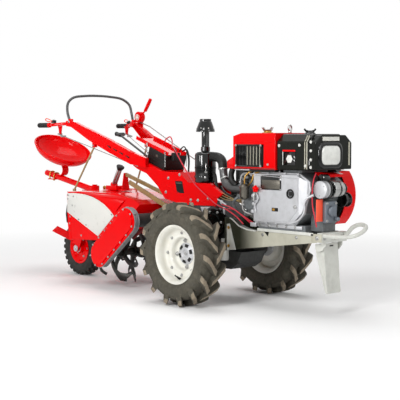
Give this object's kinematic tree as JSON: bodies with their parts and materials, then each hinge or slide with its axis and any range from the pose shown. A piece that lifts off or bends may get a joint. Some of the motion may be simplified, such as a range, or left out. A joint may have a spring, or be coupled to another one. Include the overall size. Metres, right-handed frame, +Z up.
{
  "type": "walking tractor",
  "caption": "Walking tractor with a horizontal water-cooled engine over an open frame, dished cream wheels, splayed handlebars, and a ridden rotary tiller with a pan seat over a tail wheel.",
  "frame": {"origin": "on the ground, halfway along the tractor from the bumper to the rear end of the seat beam, on its middle plane", "axes": "+X forwards, towards the headlight; +Y to the operator's left; +Z up"},
  "size_m": [3.0477, 0.915, 1.2907],
  "materials": {
    "gearbox_cast": "painted casting",
    "black_enamel": "black enamel",
    "cast_pulley": "turned cast iron",
    "red_enamel": "glossy red enamel",
    "battery_case": "moulded plastic",
    "frame_paint": "khaki-grey paint",
    "stand_paint": "light grey paint",
    "engine_cast": "painted casting",
    "silver_cast": "silver painted casting",
    "belt_rubber": "black rubber",
    "radiator_black": "black finned block",
    "tank_paint": "near-black satin",
    "lamp_glass": "clear glass",
    "bright_steel": "plated steel",
    "grip_rubber": "black rubber",
    "gearbox_iron": "painted casting",
    "flap_rubber": "black rubber",
    "tan_paint": "olive-brown paint",
    "tyre": "dusty black rubber",
    "wheel_cream": "cream enamel",
    "blade_steel": "dark painted steel"
  },
  "bodies": {
    "chassis": {"gearbox_case": "gearbox_cast", "clutch_cover": "black_enamel", "clutch_pulley": "cast_pulley", "body_panel": "red_enamel", "battery": "battery_case", "battery_clamp": "red_enamel", "engine_frame": "frame_paint", "frame_crossmember": "stand_paint", "front_bumper": "stand_paint", "engine_block": "engine_cast", "gear_cover": "silver_cast", "cylinder_head": "engine_cast", "flywheel": "cast_pulley", "drive_belts": "belt_rubber", "flywheel_guard": "red_enamel", "radiator_cover": "red_enamel", "radiator_core": "radiator_black", "fuel_tank": "tank_paint", "headlight_housing": "tank_paint", "headlight_lens": "lamp_glass", "starter_motor": "black_enamel", "fuel_filter": "bright_steel", "muffler": "black_enamel", "air_cleaner": "black_enamel", "rain_cap": "black_enamel", "intake_elbow": "belt_rubber", "intake_pipe": "bright_steel", "handlebar_right": "red_enamel", "handlebar_left": "red_enamel", "grip_right": "grip_rubber", "grip_left": "grip_rubber", "handle_hoop": "bright_steel", "clutch_lever": "red_enamel", "gear_lever": "bright_steel", "tiller_hood": "red_enamel", "chain_case": "gearbox_iron", "chain_case_cover": "red_enamel", "tiller_gearcase": "gearbox_iron", "rear_flap": "flap_rubber", "link_tower": "red_enamel", "link_bar_upper": "tan_paint", "link_bar_lower": "tan_paint", "depth_screw": "bright_steel", "strut_rod_right": "bright_steel", "strut_rod_left": "bright_steel", "seat_beam": "red_enamel", "seat_pan": "red_enamel"},
    "wheel_right": {"tyre_right": "tyre", "wheel_rim_right": "wheel_cream"},
    "wheel_left": {"tyre_left": "tyre", "wheel_rim_left": "wheel_cream"},
    "stand": {"front_stand": "stand_paint"},
    "rotor": {"tiller_rotor": "blade_steel"},
    "tail_swivel": {"tail_fork": "red_enamel"},
    "tail_wheel": {"tail_tyre": "tyre", "tail_rim": "red_enamel"}
  },
  "joints": [
    {"name": "wheel_right_spin", "type": "hinge", "parent": "chassis", "child": "wheel_right", "pos_m": [0.444, -0.375, 0.305], "axis": [0, 1, 0], "continuous": true},
    {"name": "wheel_left_spin", "type": "hinge", "parent": "chassis", "child": "wheel_left", "pos_m": [0.444, 0.375, 0.305], "axis": [0, 1, 0], "continuous": true},
    {"name": "tiller_rotor_spin", "type": "hinge", "parent": "chassis", "child": "rotor", "pos_m": [-0.424, 0, 0.227], "axis": [0, 1, 0], "continuous": true},
    {"name": "tail_wheel_steer", "type": "hinge", "parent": "chassis", "child": "tail_swivel", "pos_m": [-0.921, 0, 0.5], "axis": [0, 0, 1], "range_deg": [-40, 40]},
    {"name": "tail_wheel_spin", "type": "hinge", "parent": "tail_swivel", "child": "tail_wheel", "pos_m": [-1.058, 0, 0.195], "axis": [0, 1, 0], "continuous": true},
    {"name": "front_stand_fold", "type": "hinge", "parent": "chassis", "child": "stand", "pos_m": [1.239, 0, 0.385], "axis": [0, 1, 0], "range_deg": [0, 85]}
  ]
}
